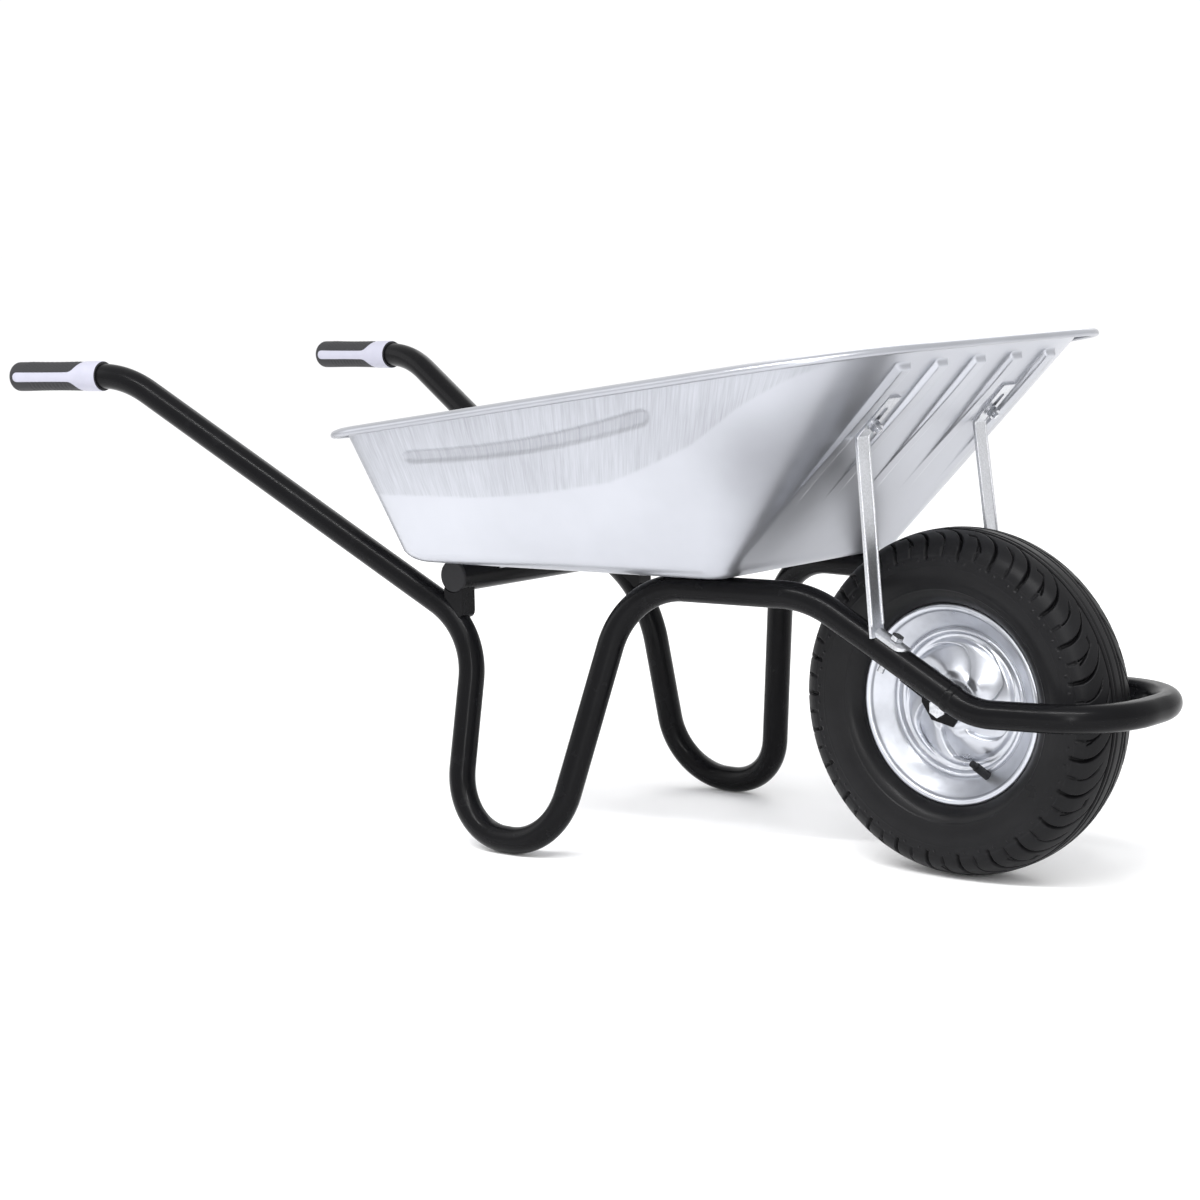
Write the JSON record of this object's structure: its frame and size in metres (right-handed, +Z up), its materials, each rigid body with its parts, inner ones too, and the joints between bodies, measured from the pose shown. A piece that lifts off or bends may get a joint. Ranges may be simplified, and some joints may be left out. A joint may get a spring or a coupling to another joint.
{
  "type": "wheelbarrow",
  "caption": "Single-wheel garden wheelbarrow with a deep galvanised tray, black bent-tube frame, braces, looped nose, soft grips and an air-filled tyre.",
  "frame": {"origin": "on the ground, on the centre plane, below the middle of the overall length", "axes": "+X points forward to the wheel and the nose loop, +Y to the left, +Z up; the wheel and both feet stand on Z = 0"},
  "size_m": [1.5353, 0.63, 0.6146],
  "materials": {
    "frame_paint": "gloss black powder coat",
    "tray_zinc": "satin hot-dip galvanised sheet",
    "fitting_zinc": "galvanised, slightly spangled",
    "bolt_zinc": "bright zinc plated",
    "rim_zinc": "bright zinc-coated pressed sheet",
    "tyre_rubber": "matt black rubber",
    "tube_rubber": "smooth black butyl rubber",
    "valve_rubber": "smooth black rubber",
    "cap_plastic": "moulded black plastic",
    "bearing_steel": "ground steel",
    "grip_rubber": "dark grey soft rubber with a dotted top",
    "grip_insert": "light grey satin plastic"
  },
  "bodies": {
    "frame": {"frame_tube_left": "frame_paint", "frame_tube_right": "frame_paint", "nose_loop_tube": "frame_paint", "rear_cross_tube": "frame_paint", "cross_tube_gusset_left": "frame_paint", "cross_tube_gusset_right": "frame_paint", "axle_bracket_left": "frame_paint", "axle_bracket_right": "frame_paint", "cross_tube_plugs": "cap_plastic", "tray": "tray_zinc", "tray_rear_hooks": "fitting_zinc", "brace_left": "fitting_zinc", "brace_right": "fitting_zinc", "brace_top_bolts": "bolt_zinc", "brace_top_washers": "bolt_zinc", "brace_top_nuts": "bolt_zinc", "brace_foot_bolts": "bolt_zinc", "axle_bolt": "bolt_zinc", "axle_washer": "bolt_zinc", "axle_nut": "bolt_zinc", "bearing_inner_rings": "bearing_steel", "axle_sleeve": "bearing_steel", "axle_spacers": "bearing_steel", "grip_left": "grip_rubber", "grip_right": "grip_rubber", "grip_insert_left": "grip_insert", "grip_insert_right": "grip_insert"},
    "wheel": {"tyre": "tyre_rubber", "inner_tube": "tube_rubber", "rim_half_left": "rim_zinc", "rim_half_right": "rim_zinc", "valve_stem": "valve_rubber", "valve_cap": "cap_plastic", "hub_tube": "rim_zinc", "bearing_outer_rings": "bearing_steel", "bearing_balls": "bearing_steel", "bearing_covers": "bearing_steel"}
  },
  "joints": [
    {"name": "wheel_spin", "type": "hinge", "parent": "frame", "child": "wheel", "pos_m": [0.514, 0, 0.198], "axis": [0, 1, 0], "continuous": true}
  ]
}
